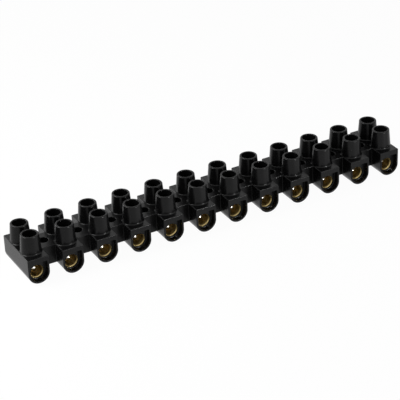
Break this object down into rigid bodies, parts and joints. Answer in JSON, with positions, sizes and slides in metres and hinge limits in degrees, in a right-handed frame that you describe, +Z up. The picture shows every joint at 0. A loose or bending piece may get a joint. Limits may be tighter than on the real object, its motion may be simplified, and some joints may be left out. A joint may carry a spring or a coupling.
{
  "type": "screw terminal strip",
  "caption": "Black moulded screw terminal strip: a row of round-bottomed poles joined by webs with fixing holes, each with a brass tube and two clamp screws in tapered towers.",
  "frame": {"origin": "centre of the strip's footprint, on the plane that the round pole bottoms rest on", "axes": "+X along the row of poles, +Y from the front wire entries to the rear ones, +Z up the towers"},
  "size_m": [0.1394, 0.019, 0.0155],
  "materials": {
    "moulding": "glossy moulded thermoplastic, black",
    "brass": "drawn brass, cut ends",
    "screw_steel": "zinc-plated steel"
  },
  "bodies": {
    "strip": {"housing_01": "moulding", "housing_02": "moulding", "housing_03": "moulding", "housing_04": "moulding", "housing_05": "moulding", "housing_06": "moulding", "housing_07": "moulding", "housing_08": "moulding", "housing_09": "moulding", "housing_10": "moulding", "housing_11": "moulding", "housing_12": "moulding", "brass_body_01": "brass", "brass_body_02": "brass", "brass_body_03": "brass", "brass_body_04": "brass", "brass_body_05": "brass", "brass_body_06": "brass", "brass_body_07": "brass", "brass_body_08": "brass", "brass_body_09": "brass", "brass_body_10": "brass", "brass_body_11": "brass", "brass_body_12": "brass"},
    "clamp_front_01": {"screw_front_01": "screw_steel"},
    "clamp_front_02": {"screw_front_02": "screw_steel"},
    "clamp_front_03": {"screw_front_03": "screw_steel"},
    "clamp_front_04": {"screw_front_04": "screw_steel"},
    "clamp_front_05": {"screw_front_05": "screw_steel"},
    "clamp_front_06": {"screw_front_06": "screw_steel"},
    "clamp_front_07": {"screw_front_07": "screw_steel"},
    "clamp_front_08": {"screw_front_08": "screw_steel"},
    "clamp_front_09": {"screw_front_09": "screw_steel"},
    "clamp_front_10": {"screw_front_10": "screw_steel"},
    "clamp_front_11": {"screw_front_11": "screw_steel"},
    "clamp_front_12": {"screw_front_12": "screw_steel"},
    "clamp_rear_01": {"screw_rear_01": "screw_steel"},
    "clamp_rear_02": {"screw_rear_02": "screw_steel"},
    "clamp_rear_03": {"screw_rear_03": "screw_steel"},
    "clamp_rear_04": {"screw_rear_04": "screw_steel"},
    "clamp_rear_05": {"screw_rear_05": "screw_steel"},
    "clamp_rear_06": {"screw_rear_06": "screw_steel"},
    "clamp_rear_07": {"screw_rear_07": "screw_steel"},
    "clamp_rear_08": {"screw_rear_08": "screw_steel"},
    "clamp_rear_09": {"screw_rear_09": "screw_steel"},
    "clamp_rear_10": {"screw_rear_10": "screw_steel"},
    "clamp_rear_11": {"screw_rear_11": "screw_steel"},
    "clamp_rear_12": {"screw_rear_12": "screw_steel"}
  },
  "joints": [
    {"name": "clamp_front_01", "type": "slide", "parent": "strip", "child": "clamp_front_01", "axis": [0, 0, 1], "range_m": [-0.0014, 0.0022]},
    {"name": "clamp_front_02", "type": "slide", "parent": "strip", "child": "clamp_front_02", "axis": [0, 0, 1], "range_m": [-0.0014, 0.0022]},
    {"name": "clamp_front_03", "type": "slide", "parent": "strip", "child": "clamp_front_03", "axis": [0, 0, 1], "range_m": [-0.0014, 0.0022]},
    {"name": "clamp_front_04", "type": "slide", "parent": "strip", "child": "clamp_front_04", "axis": [0, 0, 1], "range_m": [-0.0014, 0.0022]},
    {"name": "clamp_front_05", "type": "slide", "parent": "strip", "child": "clamp_front_05", "axis": [0, 0, 1], "range_m": [-0.0014, 0.0022]},
    {"name": "clamp_front_06", "type": "slide", "parent": "strip", "child": "clamp_front_06", "axis": [0, 0, 1], "range_m": [-0.0014, 0.0022]},
    {"name": "clamp_front_07", "type": "slide", "parent": "strip", "child": "clamp_front_07", "axis": [0, 0, 1], "range_m": [-0.0014, 0.0022]},
    {"name": "clamp_front_08", "type": "slide", "parent": "strip", "child": "clamp_front_08", "axis": [0, 0, 1], "range_m": [-0.0014, 0.0022]},
    {"name": "clamp_front_09", "type": "slide", "parent": "strip", "child": "clamp_front_09", "axis": [0, 0, 1], "range_m": [-0.0014, 0.0022]},
    {"name": "clamp_front_10", "type": "slide", "parent": "strip", "child": "clamp_front_10", "axis": [0, 0, 1], "range_m": [-0.0014, 0.0022]},
    {"name": "clamp_front_11", "type": "slide", "parent": "strip", "child": "clamp_front_11", "axis": [0, 0, 1], "range_m": [-0.0014, 0.0022]},
    {"name": "clamp_front_12", "type": "slide", "parent": "strip", "child": "clamp_front_12", "axis": [0, 0, 1], "range_m": [-0.0014, 0.0022]},
    {"name": "clamp_rear_01", "type": "slide", "parent": "strip", "child": "clamp_rear_01", "axis": [0, 0, 1], "range_m": [-0.0014, 0.0022]},
    {"name": "clamp_rear_02", "type": "slide", "parent": "strip", "child": "clamp_rear_02", "axis": [0, 0, 1], "range_m": [-0.0014, 0.0022]},
    {"name": "clamp_rear_03", "type": "slide", "parent": "strip", "child": "clamp_rear_03", "axis": [0, 0, 1], "range_m": [-0.0014, 0.0022]},
    {"name": "clamp_rear_04", "type": "slide", "parent": "strip", "child": "clamp_rear_04", "axis": [0, 0, 1], "range_m": [-0.0014, 0.0022]},
    {"name": "clamp_rear_05", "type": "slide", "parent": "strip", "child": "clamp_rear_05", "axis": [0, 0, 1], "range_m": [-0.0014, 0.0022]},
    {"name": "clamp_rear_06", "type": "slide", "parent": "strip", "child": "clamp_rear_06", "axis": [0, 0, 1], "range_m": [-0.0014, 0.0022]},
    {"name": "clamp_rear_07", "type": "slide", "parent": "strip", "child": "clamp_rear_07", "axis": [0, 0, 1], "range_m": [-0.0014, 0.0022]},
    {"name": "clamp_rear_08", "type": "slide", "parent": "strip", "child": "clamp_rear_08", "axis": [0, 0, 1], "range_m": [-0.0014, 0.0022]},
    {"name": "clamp_rear_09", "type": "slide", "parent": "strip", "child": "clamp_rear_09", "axis": [0, 0, 1], "range_m": [-0.0014, 0.0022]},
    {"name": "clamp_rear_10", "type": "slide", "parent": "strip", "child": "clamp_rear_10", "axis": [0, 0, 1], "range_m": [-0.0014, 0.0022]},
    {"name": "clamp_rear_11", "type": "slide", "parent": "strip", "child": "clamp_rear_11", "axis": [0, 0, 1], "range_m": [-0.0014, 0.0022]},
    {"name": "clamp_rear_12", "type": "slide", "parent": "strip", "child": "clamp_rear_12", "axis": [0, 0, 1], "range_m": [-0.0014, 0.0022]}
  ]
}
